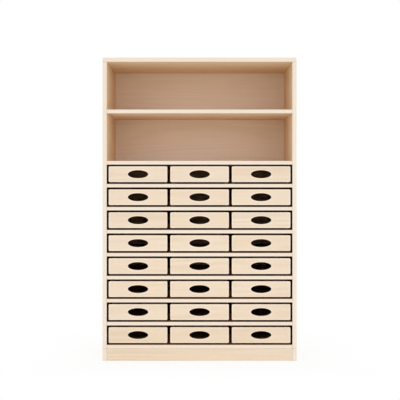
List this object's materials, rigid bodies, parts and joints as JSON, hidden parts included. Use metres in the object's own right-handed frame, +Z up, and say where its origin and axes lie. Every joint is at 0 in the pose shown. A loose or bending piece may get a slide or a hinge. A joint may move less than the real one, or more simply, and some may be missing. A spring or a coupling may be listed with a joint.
{
  "type": "storage cabinet",
  "caption": "Free-standing birch cabinet with two open compartments above a bank of sliding tray drawers with elliptical finger pulls, on a plinth.",
  "frame": {"origin": "on the floor, under the middle of the cabinet's footprint", "axes": "+X across the width to the right as seen from the front, +Y to the back, +Z up; the fronts face -Y"},
  "size_m": [0.96, 0.4, 1.5],
  "materials": {
    "panel_birch": "clear satin lacquer on birch, grain upright on the sides",
    "shelf_birch": "clear satin lacquer on birch, grain along the shelf",
    "back_birch": "clear lacquered birch plywood",
    "plinth_birch": "clear satin lacquer on birch",
    "guide_beech": "dark stained beech",
    "drawer_birch": "clear satin lacquer on birch, grain along the front"
  },
  "bodies": {
    "carcass": {"left_side_panel": "panel_birch", "right_side_panel": "panel_birch", "top_panel": "panel_birch", "back_panel": "back_birch", "bottom_panel": "shelf_birch", "drawer_shelf_1": "shelf_birch", "drawer_shelf_2": "shelf_birch", "drawer_shelf_3": "shelf_birch", "drawer_shelf_4": "shelf_birch", "drawer_shelf_5": "shelf_birch", "drawer_shelf_6": "shelf_birch", "drawer_shelf_7": "shelf_birch", "bay_top_shelf": "shelf_birch", "upper_shelf": "shelf_birch", "plinth_front": "plinth_birch", "plinth_back": "plinth_birch", "plinth_left": "plinth_birch", "plinth_right": "plinth_birch", "plinth_cross_rail_1": "plinth_birch", "plinth_cross_rail_2": "plinth_birch", "guide_rail_row1_1": "guide_beech", "guide_rail_row1_2": "guide_beech", "guide_rail_row2_1": "guide_beech", "guide_rail_row2_2": "guide_beech", "guide_rail_row3_1": "guide_beech", "guide_rail_row3_2": "guide_beech", "guide_rail_row4_1": "guide_beech", "guide_rail_row4_2": "guide_beech", "guide_rail_row5_1": "guide_beech", "guide_rail_row5_2": "guide_beech", "guide_rail_row6_1": "guide_beech", "guide_rail_row6_2": "guide_beech", "guide_rail_row7_1": "guide_beech", "guide_rail_row7_2": "guide_beech", "guide_rail_row8_1": "guide_beech", "guide_rail_row8_2": "guide_beech"},
    "drawer_row1_column1": {"drawer_row1_column1": "drawer_birch"},
    "drawer_row1_column2": {"drawer_row1_column2": "drawer_birch"},
    "drawer_row1_column3": {"drawer_row1_column3": "drawer_birch"},
    "drawer_row2_column1": {"drawer_row2_column1": "drawer_birch"},
    "drawer_row2_column2": {"drawer_row2_column2": "drawer_birch"},
    "drawer_row2_column3": {"drawer_row2_column3": "drawer_birch"},
    "drawer_row3_column1": {"drawer_row3_column1": "drawer_birch"},
    "drawer_row3_column2": {"drawer_row3_column2": "drawer_birch"},
    "drawer_row3_column3": {"drawer_row3_column3": "drawer_birch"},
    "drawer_row4_column1": {"drawer_row4_column1": "drawer_birch"},
    "drawer_row4_column2": {"drawer_row4_column2": "drawer_birch"},
    "drawer_row4_column3": {"drawer_row4_column3": "drawer_birch"},
    "drawer_row5_column1": {"drawer_row5_column1": "drawer_birch"},
    "drawer_row5_column2": {"drawer_row5_column2": "drawer_birch"},
    "drawer_row5_column3": {"drawer_row5_column3": "drawer_birch"},
    "drawer_row6_column1": {"drawer_row6_column1": "drawer_birch"},
    "drawer_row6_column2": {"drawer_row6_column2": "drawer_birch"},
    "drawer_row6_column3": {"drawer_row6_column3": "drawer_birch"},
    "drawer_row7_column1": {"drawer_row7_column1": "drawer_birch"},
    "drawer_row7_column2": {"drawer_row7_column2": "drawer_birch"},
    "drawer_row7_column3": {"drawer_row7_column3": "drawer_birch"},
    "drawer_row8_column1": {"drawer_row8_column1": "drawer_birch"},
    "drawer_row8_column2": {"drawer_row8_column2": "drawer_birch"},
    "drawer_row8_column3": {"drawer_row8_column3": "drawer_birch"}
  },
  "joints": [
    {"name": "slide_row1_column1", "type": "slide", "parent": "carcass", "child": "drawer_row1_column1", "axis": [0, -1, 0], "range_m": [0, 0.3]},
    {"name": "slide_row1_column2", "type": "slide", "parent": "carcass", "child": "drawer_row1_column2", "axis": [0, -1, 0], "range_m": [0, 0.3]},
    {"name": "slide_row1_column3", "type": "slide", "parent": "carcass", "child": "drawer_row1_column3", "axis": [0, -1, 0], "range_m": [0, 0.3]},
    {"name": "slide_row2_column1", "type": "slide", "parent": "carcass", "child": "drawer_row2_column1", "axis": [0, -1, 0], "range_m": [0, 0.3]},
    {"name": "slide_row2_column2", "type": "slide", "parent": "carcass", "child": "drawer_row2_column2", "axis": [0, -1, 0], "range_m": [0, 0.3]},
    {"name": "slide_row2_column3", "type": "slide", "parent": "carcass", "child": "drawer_row2_column3", "axis": [0, -1, 0], "range_m": [0, 0.3]},
    {"name": "slide_row3_column1", "type": "slide", "parent": "carcass", "child": "drawer_row3_column1", "axis": [0, -1, 0], "range_m": [0, 0.3]},
    {"name": "slide_row3_column2", "type": "slide", "parent": "carcass", "child": "drawer_row3_column2", "axis": [0, -1, 0], "range_m": [0, 0.3]},
    {"name": "slide_row3_column3", "type": "slide", "parent": "carcass", "child": "drawer_row3_column3", "axis": [0, -1, 0], "range_m": [0, 0.3]},
    {"name": "slide_row4_column1", "type": "slide", "parent": "carcass", "child": "drawer_row4_column1", "axis": [0, -1, 0], "range_m": [0, 0.3]},
    {"name": "slide_row4_column2", "type": "slide", "parent": "carcass", "child": "drawer_row4_column2", "axis": [0, -1, 0], "range_m": [0, 0.3]},
    {"name": "slide_row4_column3", "type": "slide", "parent": "carcass", "child": "drawer_row4_column3", "axis": [0, -1, 0], "range_m": [0, 0.3]},
    {"name": "slide_row5_column1", "type": "slide", "parent": "carcass", "child": "drawer_row5_column1", "axis": [0, -1, 0], "range_m": [0, 0.3]},
    {"name": "slide_row5_column2", "type": "slide", "parent": "carcass", "child": "drawer_row5_column2", "axis": [0, -1, 0], "range_m": [0, 0.3]},
    {"name": "slide_row5_column3", "type": "slide", "parent": "carcass", "child": "drawer_row5_column3", "axis": [0, -1, 0], "range_m": [0, 0.3]},
    {"name": "slide_row6_column1", "type": "slide", "parent": "carcass", "child": "drawer_row6_column1", "axis": [0, -1, 0], "range_m": [0, 0.3]},
    {"name": "slide_row6_column2", "type": "slide", "parent": "carcass", "child": "drawer_row6_column2", "axis": [0, -1, 0], "range_m": [0, 0.3]},
    {"name": "slide_row6_column3", "type": "slide", "parent": "carcass", "child": "drawer_row6_column3", "axis": [0, -1, 0], "range_m": [0, 0.3]},
    {"name": "slide_row7_column1", "type": "slide", "parent": "carcass", "child": "drawer_row7_column1", "axis": [0, -1, 0], "range_m": [0, 0.3]},
    {"name": "slide_row7_column2", "type": "slide", "parent": "carcass", "child": "drawer_row7_column2", "axis": [0, -1, 0], "range_m": [0, 0.3]},
    {"name": "slide_row7_column3", "type": "slide", "parent": "carcass", "child": "drawer_row7_column3", "axis": [0, -1, 0], "range_m": [0, 0.3]},
    {"name": "slide_row8_column1", "type": "slide", "parent": "carcass", "child": "drawer_row8_column1", "axis": [0, -1, 0], "range_m": [0, 0.3]},
    {"name": "slide_row8_column2", "type": "slide", "parent": "carcass", "child": "drawer_row8_column2", "axis": [0, -1, 0], "range_m": [0, 0.3]},
    {"name": "slide_row8_column3", "type": "slide", "parent": "carcass", "child": "drawer_row8_column3", "axis": [0, -1, 0], "range_m": [0, 0.3]}
  ]
}
